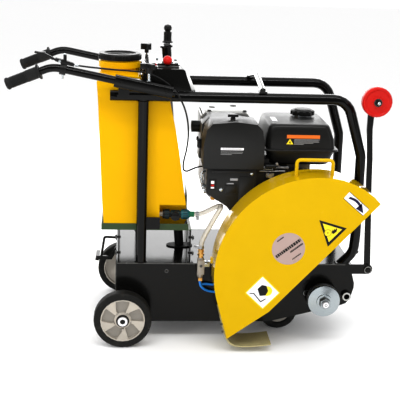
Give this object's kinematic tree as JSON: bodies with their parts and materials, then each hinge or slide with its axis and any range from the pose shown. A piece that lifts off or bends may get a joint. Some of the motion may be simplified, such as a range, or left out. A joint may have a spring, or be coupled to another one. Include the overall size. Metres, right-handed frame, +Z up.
{
  "type": "walk-behind concrete saw",
  "caption": "Walk-behind petrol concrete saw with tilting disc guard, telescopic handlebars, water tank, crank-set cutting depth, folding sight pointer and belt-driven blade shaft.",
  "frame": {"origin": "bottom centre of the machine's bounding box, on the ground the wheels stand on", "axes": "+X to the front (sight pointer end), +Y to the operator's left, +Z up"},
  "size_m": [1.1552, 0.559, 0.9693],
  "materials": {
    "black_paint": "gloss black powder coat",
    "yellow_paint": "gloss yellow powder coat",
    "yellow_pe": "moulded yellow polyethylene",
    "green_paint": "dark green paint",
    "zinc": "zinc plated",
    "steel": "turned steel",
    "cast_rim": "die-cast",
    "rubber": "black rubber",
    "tyre": "solid rubber tread",
    "plastic": "black plastic",
    "engine_shell": "satin black",
    "red": "red plastic",
    "blue": "blue hose",
    "clear": "clear hose",
    "teal": "valve body",
    "flap": "olive rubber",
    "silver": "light enamel",
    "aluminium": "cast, machined"
  },
  "bodies": {
    "frame": {"chassis": "black_paint", "side_frame_right": "black_paint", "side_frame_left": "black_paint", "lifting_bar": "silver", "control_panel": "black_paint", "throttle_cable": "rubber", "water_tank": "yellow_pe", "tank_tray": "green_paint", "tank_valve": "teal", "clear_hose": "clear", "tap_body": "zinc", "blue_hose_upper": "blue", "blue_hose_lower": "blue", "rear_axle": "steel", "bearing_right": "steel", "bearing_left": "steel", "drive_belt": "rubber", "belt_guard": "black_paint", "engine_block": "aluminium", "fan_shroud": "engine_shell", "fuel_tank": "engine_shell", "air_cleaner": "engine_shell", "muffler": "silver"},
    "guard": {"blade_guard": "yellow_paint", "guard_handle": "yellow_paint", "splash_flap": "flap"},
    "pointer": {"pointer_arm": "black_paint"},
    "guide_wheel": {"pointer_wheel": "red"},
    "rear_wheel_right": {"rear_tyre_right": "tyre", "rear_rim_right": "cast_rim"},
    "rear_wheel_left": {"rear_tyre_left": "tyre", "rear_rim_left": "cast_rim"},
    "swing": {"front_swing_frame": "black_paint"},
    "front_wheel_r": {"front_wheel_right": "tyre"},
    "front_wheel_l": {"front_wheel_left": "tyre"},
    "crank": {"depth_screw": "steel", "crank_arm": "black_paint"},
    "crank_knob": {"crank_grip": "plastic"},
    "handle_right": {"handlebar_right": "black_paint", "grip_right": "rubber", "lever_bracket": "plastic"},
    "handle_left": {"handlebar_left": "black_paint", "grip_left": "rubber"},
    "knob_right": {"wing_knob_right": "plastic"},
    "knob_left": {"wing_knob_left": "plastic"},
    "lever": {"hand_lever": "plastic"},
    "throttle": {"throttle_lever": "red"},
    "stop": {"stop_button": "red"},
    "lid": {"tank_lid": "plastic"},
    "cap": {"fuel_cap": "plastic"},
    "valve_knob": {"tank_valve_knob": "plastic"},
    "tap": {"tap_lever": "zinc"},
    "starter_grip": {"recoil_grip": "plastic"},
    "switch": {"engine_switch": "plastic"},
    "filter_nut": {"air_cleaner_nut": "plastic"},
    "spindle": {"blade_shaft": "steel", "outer_flange": "zinc", "blade_pulley": "steel"},
    "drive_pulley": {"engine_pulley": "steel"},
    "brake": {"brake_pedal": "black_paint"}
  },
  "joints": [
    {"name": "guard_tilt", "type": "hinge", "parent": "frame", "child": "guard", "pos_m": [0.25908, -0.1735, 0.147], "axis": [0, 1, 0], "range_deg": [0, 47]},
    {"name": "pointer_fold", "type": "hinge", "parent": "frame", "child": "pointer", "pos_m": [0.55308, -0.1575, 0.236], "axis": [0, 1, 0], "range_deg": [0, 100]},
    {"name": "guide_wheel_spin", "type": "hinge", "parent": "pointer", "child": "guide_wheel", "pos_m": [0.53158, -0.1815, 0.781], "axis": [0, 1, 0], "continuous": true},
    {"name": "rear_wheel_right_spin", "type": "hinge", "parent": "frame", "child": "rear_wheel_right", "pos_m": [-0.22592, -0.2205, 0.09], "axis": [0, 1, 0], "continuous": true},
    {"name": "rear_wheel_left_spin", "type": "hinge", "parent": "frame", "child": "rear_wheel_left", "pos_m": [-0.22592, 0.2535, 0.09], "axis": [0, 1, 0], "continuous": true},
    {"name": "depth_swing", "type": "hinge", "parent": "frame", "child": "swing", "pos_m": [0.08408, 0.0165, 0.1], "axis": [0, -1, 0], "range_deg": [0, 20]},
    {"name": "front_wheel_right_spin", "type": "hinge", "parent": "swing", "child": "front_wheel_r", "pos_m": [0.28408, -0.0715, 0.0625], "axis": [0, 1, 0], "continuous": true},
    {"name": "front_wheel_left_spin", "type": "hinge", "parent": "swing", "child": "front_wheel_l", "pos_m": [0.28408, 0.1045, 0.0625], "axis": [0, 1, 0], "continuous": true},
    {"name": "depth_crank", "type": "hinge", "parent": "frame", "child": "crank", "pos_m": [-0.04192, 0.0165, 0.252], "axis": [-0.0871, 0, 0.9962], "range_deg": [0, 1440]},
    {"name": "crank_grip_spin", "type": "hinge", "parent": "crank", "child": "crank_knob", "pos_m": [-0.09292, 0.0965, 0.93], "axis": [0, 0, 1], "continuous": true},
    {"name": "handle_slide_right", "type": "slide", "parent": "frame", "child": "handle_right", "axis": [-0.9817, 0, 0.1905], "range_m": [0, 0.06]},
    {"name": "handle_slide_left", "type": "slide", "parent": "frame", "child": "handle_left", "axis": [-0.9817, 0, 0.1905], "range_m": [0, 0.06]},
    {"name": "wing_knob_right_turn", "type": "hinge", "parent": "frame", "child": "knob_right", "pos_m": [-0.15692, -0.1885, 0.86], "axis": [0, 0, 1], "range_deg": [0, 360]},
    {"name": "wing_knob_left_turn", "type": "hinge", "parent": "frame", "child": "knob_left", "pos_m": [-0.15692, 0.2215, 0.876], "axis": [0, 0, 1], "range_deg": [0, 360]},
    {"name": "hand_lever_squeeze", "type": "hinge", "parent": "handle_right", "child": "lever", "pos_m": [-0.41592, -0.1885, 0.884], "axis": [0, -1, 0], "range_deg": [0, 16], "stiffness_Nm_per_rad": 1.2, "springref_deg": -17.19},
    {"name": "throttle_set", "type": "hinge", "parent": "frame", "child": "throttle", "pos_m": [-0.09992, -0.1055, 0.864], "axis": [0, 1, 0], "range_deg": [-20, 20]},
    {"name": "stop_press", "type": "slide", "parent": "frame", "child": "stop", "axis": [0, 0, -1], "range_m": [0, 0.003], "stiffness_N_per_m": 400, "springref_m": -0.002},
    {"name": "tank_lid_lift", "type": "slide", "parent": "frame", "child": "lid", "axis": [0, 0, 1], "range_m": [0, 0.05]},
    {"name": "fuel_cap_turn", "type": "hinge", "parent": "frame", "child": "cap", "pos_m": [0.34408, 0.0165, 0.71], "axis": [0, 0, 1], "range_deg": [0, 90]},
    {"name": "tank_valve_turn", "type": "hinge", "parent": "frame", "child": "valve_knob", "pos_m": [-0.06492, -0.1295, 0.397], "axis": [0, 1, 0], "range_deg": [0, 90]},
    {"name": "tap_lever_turn", "type": "hinge", "parent": "frame", "child": "tap", "pos_m": [0.01508, -0.1955, 0.258], "axis": [0, 1, 0], "range_deg": [0, 90]},
    {"name": "starter_pull", "type": "slide", "parent": "frame", "child": "starter_grip", "axis": [0, -0.5, 0.866], "range_m": [0, 0.45], "stiffness_N_per_m": 18, "springref_m": -0.3},
    {"name": "engine_switch_turn", "type": "hinge", "parent": "frame", "child": "switch", "pos_m": [0.04408, -0.1705, 0.513], "axis": [0, 1, 0], "range_deg": [0, 45]},
    {"name": "filter_nut_turn", "type": "hinge", "parent": "frame", "child": "filter_nut", "pos_m": [0.10308, -0.1335, 0.716], "axis": [0, 0, 1], "range_deg": [0, 360]},
    {"name": "blade_shaft_spin", "type": "hinge", "parent": "frame", "child": "spindle", "pos_m": [0.40758, 0.0165, 0.147], "axis": [0, 1, 0], "continuous": true},
    {"name": "engine_pulley_spin", "type": "hinge", "parent": "frame", "child": "drive_pulley", "pos_m": [0.25908, 0.1645, 0.394], "axis": [0, 1, 0], "continuous": true},
    {"name": "brake_press", "type": "hinge", "parent": "frame", "child": "brake", "pos_m": [-0.23592, 0.2085, 0.178], "axis": [0, -1, 0], "range_deg": [0, 3], "stiffness_Nm_per_rad": 5, "springref_deg": -22.92}
  ],
  "couplings": [
    {"joint": "depth_crank", "follows": "depth_swing", "ratio": 72},
    {"joint": "engine_pulley_spin", "follows": "blade_shaft_spin", "ratio": 0.91667}
  ]
}
